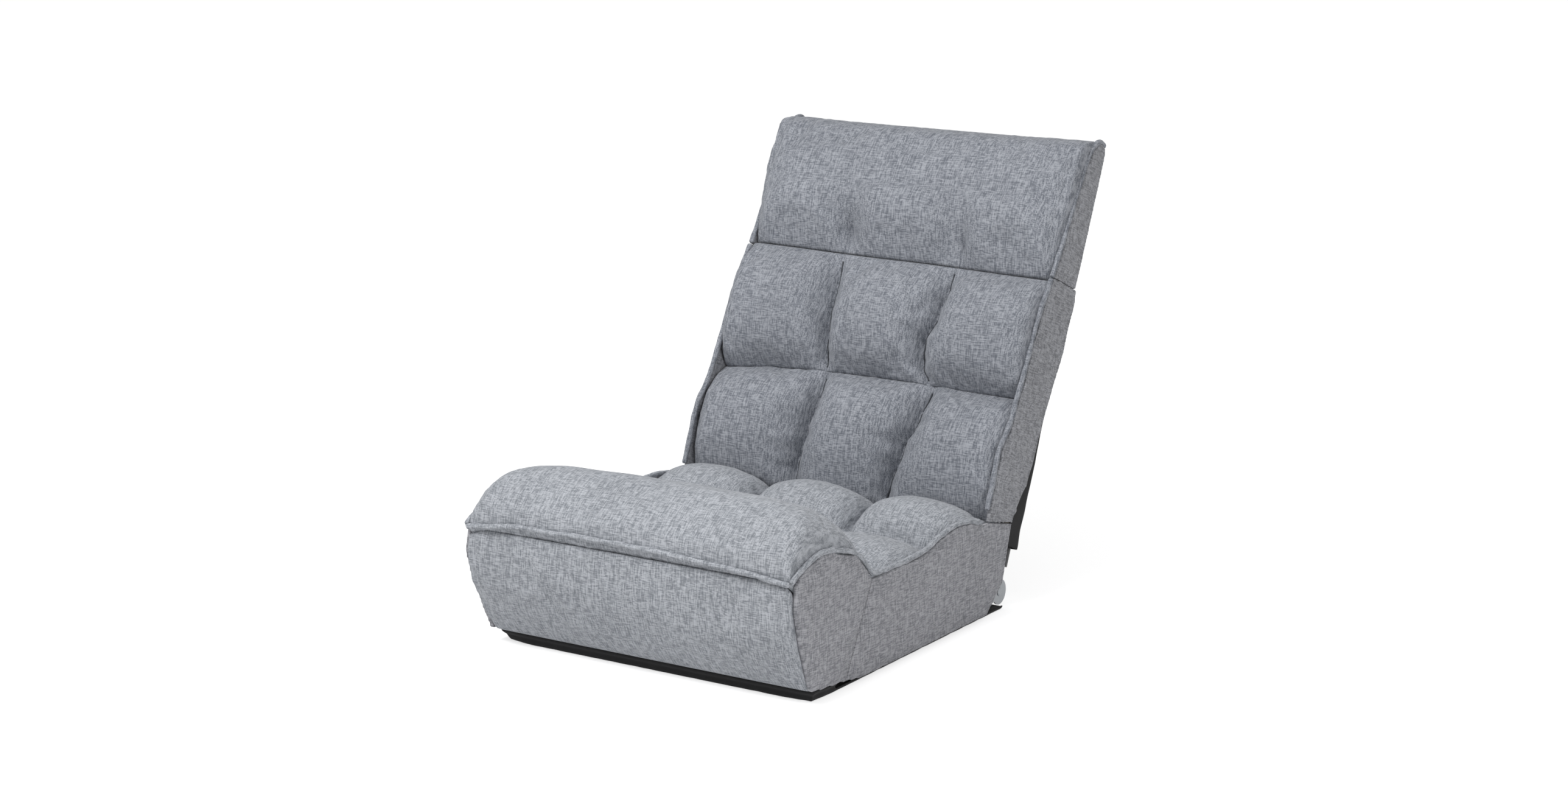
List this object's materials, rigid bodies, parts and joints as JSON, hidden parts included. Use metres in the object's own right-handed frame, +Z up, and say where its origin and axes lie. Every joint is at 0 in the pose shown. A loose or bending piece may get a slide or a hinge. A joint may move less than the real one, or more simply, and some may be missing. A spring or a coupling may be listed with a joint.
{
  "type": "folding floor chair",
  "caption": "Folding floor chair: a padded seat that lies on the floor, a tufted back that reclines and folds on ratchet hinges, and a tilting headrest.",
  "frame": {"origin": "centre of the flat black underside, on the floor", "axes": "+Z up, the chair faces -Y, +X to the sitter's left"},
  "size_m": [0.534, 0.8681, 0.6591],
  "materials": {
    "fabric_grey": "heather grey linen-look weave",
    "fabric_grey_side": "heather grey linen-look weave, over thin foam",
    "cloth_black": "black non-woven cloth",
    "frame_steel": "black powder coat on steel tube",
    "hinge_steel": "pressed and zinc-plated steel",
    "webbing": "woven webbing",
    "foam": "cut polyurethane foam"
  },
  "bodies": {
    "seat": {"seat_frame_tube": "frame_steel", "seat_cross_bars": "frame_steel", "seat_webbing": "webbing", "seat_foam": "foam", "seat_pad_rear": "fabric_grey", "seat_pad_middle": "fabric_grey", "front_bolster": "fabric_grey", "front_panel": "fabric_grey", "end_cap_left": "fabric_grey_side", "end_cap_right": "fabric_grey_side", "seat_border_left": "fabric_grey_side", "seat_border_right": "fabric_grey_side", "seat_piping_left": "fabric_grey", "seat_piping_right": "fabric_grey", "front_welt": "fabric_grey", "bottom_cover": "cloth_black", "bottom_edge_band": "cloth_black", "recline_plates_left": "hinge_steel", "recline_plates_right": "hinge_steel", "recline_pivots": "hinge_steel", "recline_rivets": "hinge_steel", "recline_spring_left": "hinge_steel", "recline_spring_right": "hinge_steel"},
    "backrest": {"recline_wheel_left": "hinge_steel", "recline_wheel_right": "hinge_steel", "back_tube_left": "frame_steel", "back_tube_right": "frame_steel", "back_cross_bars": "frame_steel", "back_webbing": "webbing", "back_foam": "foam", "back_pad_lower": "fabric_grey", "back_pad_middle": "fabric_grey", "back_border_left": "fabric_grey_side", "back_border_right": "fabric_grey_side", "back_piping_left": "fabric_grey", "back_piping_right": "fabric_grey", "back_dust_cloth": "cloth_black", "rear_apron": "fabric_grey_side", "head_plates_left": "hinge_steel", "head_plates_right": "hinge_steel", "head_pivots": "hinge_steel", "head_rivets": "hinge_steel", "head_spring_left": "hinge_steel", "head_spring_right": "hinge_steel"},
    "headrest": {"head_wheel_left": "hinge_steel", "head_wheel_right": "hinge_steel", "head_frame_tube": "frame_steel", "head_foam": "foam", "head_pad": "fabric_grey", "head_border_left": "fabric_grey_side", "head_border_right": "fabric_grey_side", "head_piping_left": "fabric_grey", "head_piping_right": "fabric_grey", "head_rear_cover": "fabric_grey_side"},
    "recline_pawl_left": {"recline_pawl_left": "hinge_steel"},
    "recline_pawl_right": {"recline_pawl_right": "hinge_steel"},
    "head_pawl_left": {"head_pawl_left": "hinge_steel"},
    "head_pawl_right": {"head_pawl_right": "hinge_steel"}
  },
  "joints": [
    {"name": "back_recline", "type": "hinge", "parent": "seat", "child": "backrest", "pos_m": [0, 0.265, 0.0225], "axis": [1, 0, 0], "range_deg": [-66.5, 48], "deforming": ["seat_pad_rear", "back_pad_lower", "back_border_left", "back_border_right", "back_piping_left", "back_piping_right", "rear_apron"]},
    {"name": "head_tilt", "type": "hinge", "parent": "backrest", "child": "headrest", "pos_m": [0, 0.44576, 0.44223], "axis": [1, 0, 0], "range_deg": [0, 40], "deforming": ["back_pad_middle"]},
    {"name": "recline_pawl_left_lift", "type": "hinge", "parent": "seat", "child": "recline_pawl_left", "pos_m": [0, 0.236, 0.0325], "axis": [-1, 0, 0], "range_deg": [0, 12], "stiffness_Nm_per_rad": 0.08, "springref_deg": -2.86, "deforming": ["recline_spring_left"]},
    {"name": "recline_pawl_right_lift", "type": "hinge", "parent": "seat", "child": "recline_pawl_right", "pos_m": [0, 0.236, 0.0325], "axis": [-1, 0, 0], "range_deg": [0, 12], "stiffness_Nm_per_rad": 0.08, "springref_deg": -2.86, "deforming": ["recline_spring_right"]},
    {"name": "head_pawl_left_lift", "type": "hinge", "parent": "backrest", "child": "head_pawl_left", "pos_m": [0, 0.44348, 0.41164], "axis": [1, 0, 0], "range_deg": [0, 12], "stiffness_Nm_per_rad": 0.08, "springref_deg": -2.86, "deforming": ["head_spring_left"]},
    {"name": "head_pawl_right_lift", "type": "hinge", "parent": "backrest", "child": "head_pawl_right", "pos_m": [0, 0.44348, 0.41164], "axis": [1, 0, 0], "range_deg": [0, 12], "stiffness_Nm_per_rad": 0.08, "springref_deg": -2.86, "deforming": ["head_spring_right"]}
  ]
}
